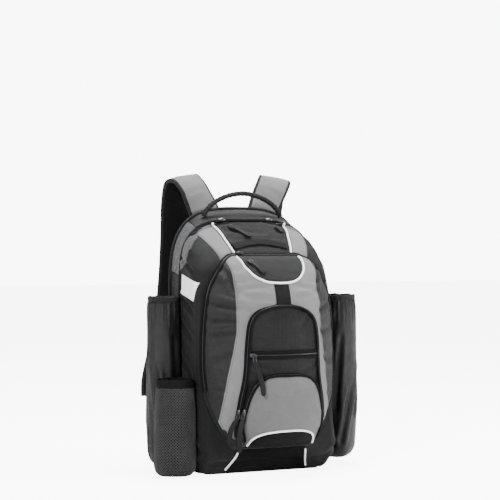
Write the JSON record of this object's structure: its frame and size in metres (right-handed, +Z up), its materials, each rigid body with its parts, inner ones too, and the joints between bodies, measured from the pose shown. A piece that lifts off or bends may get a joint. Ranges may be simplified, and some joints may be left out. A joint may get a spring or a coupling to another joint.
{
  "type": "baseball bat backpack",
  "caption": "Standing backpack for ball players, with front pockets, a bat sleeve on each side, a net bottle pocket, padded shoulder straps and a grab handle.",
  "frame": {"origin": "On the floor plane, at the underside of the base panel, on the middle line of the main compartment.", "axes": "+Z up, the wearer's back towards +Y, the pockets face -Y, +X is the side of the wider bat sleeve."},
  "size_m": [0.4302, 0.3054, 0.5569],
  "materials": {
    "black_cloth": "coated woven polyester, slight sheen",
    "dark_cloth": "plain woven polyester, webbing and zip tape",
    "grey_cloth": "heather grey woven polyester",
    "white_trim": "smooth white piping and patch cloth",
    "net": "knitted black net",
    "black_plastic": "moulded black plastic and black zip teeth"
  },
  "bodies": {
    "root": {"back_panel": "black_cloth", "rear_band": "black_cloth", "rear_top": "black_cloth", "back_piping": "black_cloth", "side_join": "black_cloth", "main_front": "black_cloth", "front_pocket_sides": "black_cloth", "crown_panel": "black_cloth", "middle_pocket": "black_cloth", "grab_handle": "black_cloth", "base_panel": "dark_cloth", "main_zip_tape": "dark_cloth", "top_webbing": "dark_cloth", "centre_strip": "dark_cloth", "flat_zip": "dark_cloth", "lower_pocket_base": "dark_cloth", "front_zip": "dark_cloth", "middle_zip": "dark_cloth", "lower_zip": "dark_cloth", "bat_sleeve_left": "dark_cloth", "bat_sleeve_right": "dark_cloth", "sleeve_hem_left": "dark_cloth", "sleeve_hem_right": "dark_cloth", "bottle_band": "dark_cloth", "webbing_left": "dark_cloth", "webbing_right": "dark_cloth", "pull_main_left": "dark_cloth", "pull_main_right": "dark_cloth", "pull_front": "dark_cloth", "pull_middle": "dark_cloth", "pull_flat": "dark_cloth", "pull_lower": "dark_cloth", "top_band_left": "grey_cloth", "top_band_right": "grey_cloth", "side_wedge_left": "grey_cloth", "side_wedge_right": "grey_cloth", "rear_patch_left": "grey_cloth", "rear_patch_right": "grey_cloth", "front_pocket_face": "grey_cloth", "lower_pocket_face": "grey_cloth", "strap_left": "grey_cloth", "strap_right": "grey_cloth", "side_flash": "white_trim", "top_piping_left": "white_trim", "top_piping_right": "white_trim", "crown_piping": "white_trim", "lower_piping": "white_trim", "base_piping_left": "white_trim", "base_piping_right": "white_trim", "bottle_pocket": "net", "main_zip_coil": "black_plastic", "buckle_left": "black_plastic", "buckle_right": "black_plastic", "slider_main_left": "black_plastic", "slider_main_right": "black_plastic", "slider_front": "black_plastic", "slider_middle": "black_plastic", "slider_flat": "black_plastic", "slider_lower": "black_plastic"}
  },
  "joints": []
}
